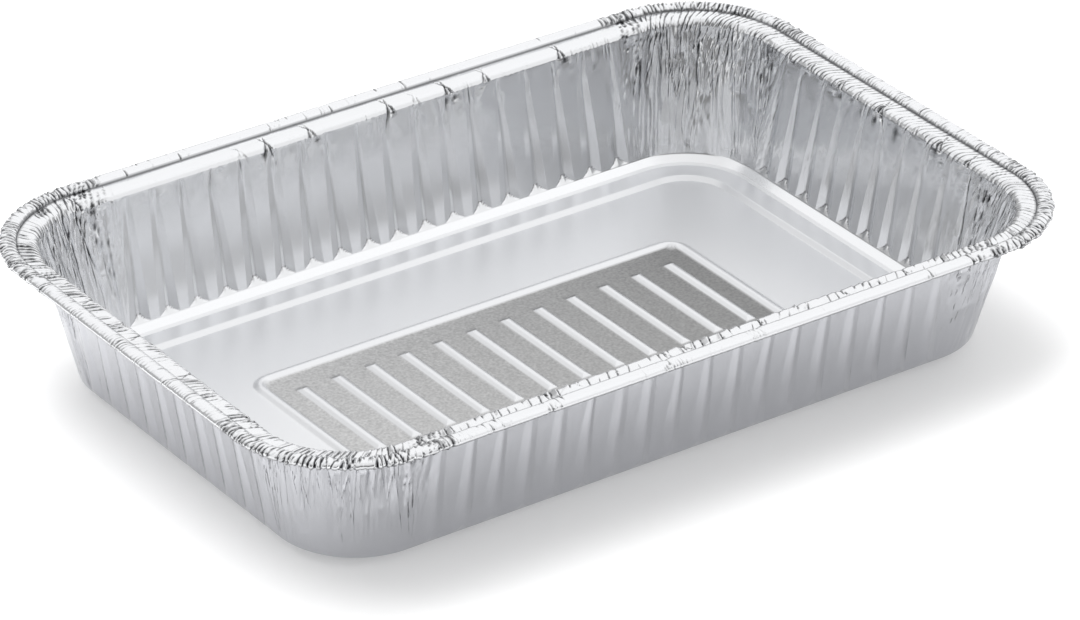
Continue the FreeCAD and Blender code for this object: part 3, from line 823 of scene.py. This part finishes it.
def bar_distance(x, y):
    """Distance from the nearest bar's middle line; its ends slope as its sides do."""
    across = np.abs(x - nearest(x, BAR_COUNT, BAR_PITCH)[1])
    return np.maximum(across, np.abs(y) - (BAR_LENGTH - RIB_TOP) / 2)


def rib_share(x, y):
    """Height of the ribs' underside, from 0 to 1: an even slope, rounded where it starts and ends."""
    away = np.minimum(np.abs(frame_side(x, y)), bar_distance(x, y))
    foot, top = RIB_FOOT / 2 - RIB_SHIFT, RIB_TOP / 2 - RIB_SHIFT
    share = (foot - away) / (foot - top)
    return (np.hypot(share, RIB_SOFT) - np.hypot(share - 1, RIB_SOFT) + 1) / 2


def panel_level(x, y):
    """Underside of the panel: its ribs, on slow waves that die out at its edge."""
    edge = np.minimum(PANEL_HALF[0] - np.abs(x), PANEL_HALF[1] - np.abs(y))
    slow = smooth_noise(x / 26 + 40, y / 20 + 40, 51) + 0.4 * smooth_noise(x / 11 + 40, y / 11 + 40, 52)
    return 0.10 * slow * ease(edge, 0, 12) + RIB_HEIGHT * rib_share(x, y)


def round_corners(x, y):
    """Moves the grid's square corners onto round ones: a square goes onto a quarter disc."""
    a = np.maximum(np.abs(x) - PANEL_HALF[0] + PANEL_CORNER, 0) / PANEL_CORNER
    b = np.maximum(np.abs(y) - PANEL_HALF[1] + PANEL_CORNER, 0) / PANEL_CORNER
    move_x = PANEL_CORNER * (a * np.sqrt(1 - b * b / 2) - a)
    move_y = PANEL_CORNER * (b * np.sqrt(1 - a * a / 2) - b)
    return x + np.sign(x) * move_x, y + np.sign(y) * move_y


x_ribs = np.array([-FRAME_LENGTH / 2, *row_places(BAR_COUNT, BAR_PITCH), FRAME_LENGTH / 2])
y_ribs = np.array([-FRAME_WIDTH / 2, 1 - BAR_LENGTH / 2, BAR_LENGTH / 2 - 1, FRAME_WIDTH / 2])
x_lines = graded(-PANEL_HALF[0], PANEL_HALF[0], x_ribs, reach=1.6, fine=0.3, coarse=1.8)
y_lines = graded(-PANEL_HALF[1], PANEL_HALF[1], y_ribs, reach=1.6, fine=0.3, coarse=1.8)
grid_x, grid_y = round_corners(*np.meshgrid(x_lines, y_lines))
slope_x = (panel_level(grid_x + NUDGE, grid_y) - panel_level(grid_x - NUDGE, grid_y)) / (2 * NUDGE)
slope_y = (panel_level(grid_x, grid_y + NUDGE) - panel_level(grid_x, grid_y - NUDGE)) / (2 * NUDGE)
panel_normal = unit(np.stack([-slope_x, -slope_y, np.ones_like(slope_x)], axis=-1))
panel_points = np.stack([grid_x, grid_y, panel_level(grid_x, grid_y)], axis=-1)
base_panel = sheet_piece("base_panel", panel_points, panel_normal, np.zeros_like(grid_x), closed=False)

# %% [markdown]
# ## The struck area
# The press strikes hardest inside the frame, between the ribs, and the die's ground face leaves that
# part of the panel grainy. An attribute on the mesh says where: 1 inside, 0 on the ribs and outside.

# %% Struck area
struck = ease(-frame_side(grid_x, grid_y), 0.2, 0.9) * (1 - ease(rib_share(grid_x, grid_y), 0.0, 0.35))
point_values(base_panel.data, "struck", struck.ravel(), struck.ravel())
print(f"struck area: {struck.mean():.2f} of the panel's points")

# %% [markdown]
# ## Bright inside, darker outside, shaded folds
# Foil is rolled aluminium, without a coating. The inside is coloured bright, and the outside darker and a
# little rougher. Tight folds, the groove and the underside of the roll get painted shade: their valleys
# are coloured dark. Both faces are one mesh, so point attributes tell the shader the face and the fold.

# %% Colours and nodes
# The third colour is painted shade for tight folds, the groove and the roll's underside; the second colours
# the outside darker.
BRIGHT_SIDE, DARK_OUTSIDE, FOLD_SHADE_COLOUR = "#EEEFF1", "#C0C1C5", "#38393C"
PRESSED_BASE = "#E9EAEC"  # the die leaves the base a little duller than the wall
BRIGHT_ROUGH, DULL_ROUGH, BASE_ROUGH, STRUCK_ROUGH = 0.18, 0.20, 0.34, 0.42
DENT_SIZE, GRAIN_SIZE = 2.5, 0.7  # millimetres across; the real grain is finer than can be drawn


def linear(code):
    """An sRGB hex colour as the linear values that the shader wants."""
    parts = np.array([int(code[i:i + 2], 16) for i in (1, 3, 5)]) / 255
    return (*np.where(parts <= 0.04045, parts / 12.92, ((parts + 0.055) / 1.055) ** 2.4), 1.0)


def add_node(tree, kind, inputs=(), **settings):
    """Adds a node, sets its properties, and sets or links each input, by name or by number.

    A Mix node goes by number: 0 is its factor, 2 and 3 its values, 6 and 7 its colours.
    """
    node = tree.nodes.new(kind)
    for name, value in settings.items():
        setattr(node, name, value)
    for name, value in dict(inputs).items():
        if isinstance(value, bpy.types.NodeSocket):
            tree.links.new(value, node.inputs[name])
        else:
            node.inputs[name].default_value = value
    return node


def new_material(name):
    """A material with an empty node tree."""
    material = bpy.data.materials.new(name)
    material.use_nodes = True
    material.node_tree.nodes.clear()
    return material, material.node_tree


def two_sides(tree):
    """Colour and roughness of the sheet: bright inside, darker outside, and painted shade where a fold
    closes.
    """
    inside = add_node(tree, "ShaderNodeAttribute", attribute_name="inside").outputs["Fac"]
    fold = add_node(tree, "ShaderNodeAttribute", attribute_name="fold").outputs["Fac"]
    sides = {0: inside, 6: linear(DARK_OUTSIDE), 7: linear(BRIGHT_SIDE)}
    face = add_node(tree, "ShaderNodeMix", sides, data_type="RGBA").outputs[2]
    # Painted shade: the fold attribute mixes the dark fold colour in.
    fold_shaded = {0: fold, 6: face, 7: linear(FOLD_SHADE_COLOUR)}
    colour = add_node(tree, "ShaderNodeMix", fold_shaded, data_type="RGBA").outputs[2]
    ends = {"Value": inside, "To Min": DULL_ROUGH, "To Max": BRIGHT_ROUGH}
    return colour, add_node(tree, "ShaderNodeMapRange", ends).outputs["Result"]


def bare_metal(tree, colour, rough, marks, strength, depth):
    """The metal's shader and output, with marks pressed in by this depth in millimetres."""
    dents = {"Height": marks, "Strength": strength, "Distance": depth * MM}
    normal = add_node(tree, "ShaderNodeBump", dents).outputs["Normal"]
    metal = {"Base Color": colour, "Metallic": 1.0, "Roughness": rough, "Normal": normal}
    shader = add_node(tree, "ShaderNodeBsdfPrincipled", metal).outputs["BSDF"]
    add_node(tree, "ShaderNodeOutputMaterial", {"Surface": shader})


def satin_foil():
    """Rolled foil of the wall and rim: bright satin inside, darker outside and painted shade in tight folds,
    with very fine dents.
    """
    material, tree = new_material("satin_aluminium_foil")
    place = add_node(tree, "ShaderNodeTexCoord").outputs["Object"]
    marks = {"Vector": place, "Scale": 1 / (DENT_SIZE * MM), "Detail": 2.0}
    dents = add_node(tree, "ShaderNodeTexNoise", marks).outputs["Fac"]
    bare_metal(tree, *two_sides(tree), dents, strength=0.2, depth=0.03)
    return material


def struck_foil():
    """The pressed base: satin foil, grey and grainy where the die struck it, with a painted reflection:
    lighter to the left.
    """
    material, tree = new_material("struck_aluminium_foil")
    place = add_node(tree, "ShaderNodeTexCoord").outputs["Object"]
    amount = add_node(tree, "ShaderNodeAttribute", attribute_name="struck").outputs["Fac"]
    marks = {"Vector": place, "Scale": 1 / (GRAIN_SIZE * MM), "Detail": 2.0}
    grain = add_node(tree, "ShaderNodeTexNoise", marks).outputs["Fac"]
    ends = {"Value": grain, "From Min": 0.25, "From Max": 0.75, "To Min": 0.40, "To Max": 0.60}
    shade = add_node(tree, "ShaderNodeMapRange", ends).outputs["Result"]
    # Painted reflection: the struck area is coloured lighter to the left and darker to the right.
    x = add_node(tree, "ShaderNodeSeparateXYZ", {"Vector": place}).outputs["X"]
    ends = {"Value": x, "From Min": -60 * MM, "From Max": 60 * MM, "To Min": 1.15, "To Max": 0.58}
    painted_reflection_ramp = add_node(tree, "ShaderNodeMapRange", ends).outputs["Result"]
    shade = add_node(tree, "ShaderNodeMath", {0: shade, 1: painted_reflection_ramp}, operation="MULTIPLY").outputs["Value"]
    parts = {0: amount, 6: linear(PRESSED_BASE), 7: shade}
    colour = add_node(tree, "ShaderNodeMix", parts, data_type="RGBA").outputs[2]
    ends = {"Value": amount, "To Min": BASE_ROUGH, "To Max": STRUCK_ROUGH}
    rough = add_node(tree, "ShaderNodeMapRange", ends).outputs["Result"]
    bare_metal(tree, colour, rough, grain, strength=amount, depth=0.02)
    return material


foil_finish = satin_foil()
for piece in (wall_lower, wall_upper, flange, rolled_rim):
    piece.data.materials.append(foil_finish)
base_finish = struck_foil()
for piece in (stepped_foot, base_panel):
    piece.data.materials.append(base_finish)
print(f"finishes: {foil_finish.name} and {base_finish.name}")

# %% [markdown]
# ## The table
# The tray stands on white paper, which glows a little where it is seen or mirrored, so that it looks
# white. The glow lights nothing else, and the tray's shadow stays.

# %% Floor
TABLE_REACH, TABLE_GLOW = 2.0, 0.20  # metres from the middle to the edge; strength
floor_mesh = bpy.data.meshes.new("table")
table_corners = [(TABLE_REACH * x, TABLE_REACH * y, 0) for x, y in ((-1, -1), (1, -1), (1, 1), (-1, 1))]
floor_mesh.from_pydata(table_corners, [], [(0, 1, 2, 3)])
floor = new_object("table", floor_mesh)
paper, tree = new_material("white_paper")
rays = add_node(tree, "ShaderNodeLightPath").outputs
seen = rays["Is Camera Ray"]
for kind in ("Is Glossy Ray", "Is Transmission Ray"):
    seen = add_node(tree, "ShaderNodeMath", {0: seen, 1: rays[kind]}, operation="MAXIMUM").outputs[0]
lift = add_node(tree, "ShaderNodeMath", {0: seen, 1: TABLE_GLOW}, operation="MULTIPLY").outputs[0]
glow = add_node(tree, "ShaderNodeEmission", {"Color": linear("#FFFFFF"), "Strength": lift})
lit = add_node(tree, "ShaderNodeBsdfDiffuse", {"Color": linear("#F2F2F2")})
both = add_node(tree, "ShaderNodeAddShader", {0: lit.outputs["BSDF"], 1: glow.outputs["Emission"]})
add_node(tree, "ShaderNodeOutputMaterial", {"Surface": both.outputs["Shader"]})
floor_mesh.materials.append(paper)
print(f"table: {2 * TABLE_REACH:.0f} m square")

# %% [markdown]
# ## The lamp
# One large soft lamp hangs over the table and gives the tray its pale shadow. Reflections don't show
# it, so the metal mirrors the studio alone.

# %% Lights
LAMP_PLACE, LAMP_AIM = Vector((-0.15, 0.3, 1.1)), Vector((0, 0, 0.02))  # metres
lamp = bpy.data.lights.new("overhead", "AREA")
lamp.shape = "RECTANGLE"
lamp.size, lamp.size_y = 1.2, 0.9
lamp.energy = 12.0
overhead = new_object("overhead", lamp)
overhead.location = LAMP_PLACE
overhead.rotation_euler = (LAMP_AIM - LAMP_PLACE).to_track_quat("-Z", "Y").to_euler()
overhead.visible_glossy = False
print(f"lamp: {lamp.size:.1f} x {lamp.size_y:.1f} m, {lamp.energy:.0f} W")

# %% [markdown]
# ## The studio
# Bright metal shows its surroundings, so the studio itself is the main light: a white ceiling, grey
# walls that darken towards the floor, and three white screens: behind the tray and in front of it, to
# its right, and one to its left. The wall to the front left and the ceiling overhead are dimmed. What
# lies between the screens is grey, and that draws the folds. All angles are in degrees.

# %% Studio
world = bpy.data.worlds.new("studio")
bpy.context.scene.world = world
world.use_nodes = True
tree = world.node_tree
tree.nodes.clear()
direction = add_node(tree, "ShaderNodeTexCoord").outputs["Generated"]
UP, RIGHT = (0, 0, 1), (1, 0, 0)
DIMMED = [  # direction, outer and inner angle, share of the light that is left
    ((-0.57, -0.82, 0.0), 69.5, 25.7, 0.45),
    ((-0.30, -0.25, 0.92), 46, 28, 0.86),
]
SCREENS = [  # direction, outer and inner angle, brightness
    ((0.62, 0.60, 0.50), 38, 18, 1.12),
    ((0.50, -0.78, 0.30), 34, 14, 1.0),
    ((-0.95, 0.12, 0.26), 30, 12, 1.0),
]


def patch(towards, outer, inner, start, end):
    """A value that goes smoothly from start to end between two angles off a direction."""
    sides = {0: direction, 1: Vector(towards).normalized()}
    match = add_node(tree, "ShaderNodeVectorMath", sides, operation="DOT_PRODUCT").outputs["Value"]
    edge, full = math.cos(math.radians(outer)), math.cos(math.radians(inner))
    ends = {"Value": match, "From Min": edge, "From Max": full, "To Min": start, "To Max": end}
    return add_node(tree, "ShaderNodeMapRange", ends, interpolation_type="SMOOTHSTEP").outputs["Result"]


walls = patch(UP, 90, 81.95, 0.12, 0.50)
ceiling = patch(RIGHT, 120, 72.54, 1.06, 1.15)
above = patch(UP, 62.61, 48.70, 0.0, 1.0)
level = add_node(tree, "ShaderNodeMix", {0: above, 2: walls, 3: ceiling}).outputs[0]
for towards, outer, inner, left in DIMMED:
    shade = patch(towards, outer, inner, 1.0, left)
    level = add_node(tree, "ShaderNodeMath", {0: level, 1: shade}, operation="MULTIPLY").outputs[0]
for towards, outer, inner, bright in SCREENS:
    share = patch(towards, outer, inner, 0.0, 1.0)
    level = add_node(tree, "ShaderNodeMix", {0: share, 2: level, 3: bright}).outputs[0]
glow = add_node(tree, "ShaderNodeBackground", {"Color": linear("#FFFFFF"), "Strength": level})
add_node(tree, "ShaderNodeOutputWorld", {"Surface": glow.outputs["Background"]})
print(f"studio: {len(SCREENS)} screens, {len(DIMMED)} dimmed parts")

# %% [markdown]
# ## The camera
# A long lens looks down on the tray over its front left corner.

# %% Camera
AZIMUTH, ELEVATION, DISTANCE = math.radians(-34.98), math.radians(28.79), 1.4822
target = Vector((0, 0, 0.0188))  # the middle of the tray, in metres
away = Vector((
    math.sin(AZIMUTH) * math.cos(ELEVATION), -math.cos(AZIMUTH) * math.cos(ELEVATION), math.sin(ELEVATION)
))
lens = bpy.data.cameras.new("camera")
lens.sensor_width = 36.0
lens.lens = 215.45
lens.shift_x, lens.shift_y = 0.0101, -0.0244
camera = new_object("camera", lens)
camera.location = target + DISTANCE * away
camera.rotation_euler = (-away).to_track_quat("-Z", "Y").to_euler()
bpy.context.scene.camera = camera
bpy.context.scene.view_settings.view_transform = "Standard"
print(f"camera: {lens.lens:.0f} mm lens at {DISTANCE:.2f} m")
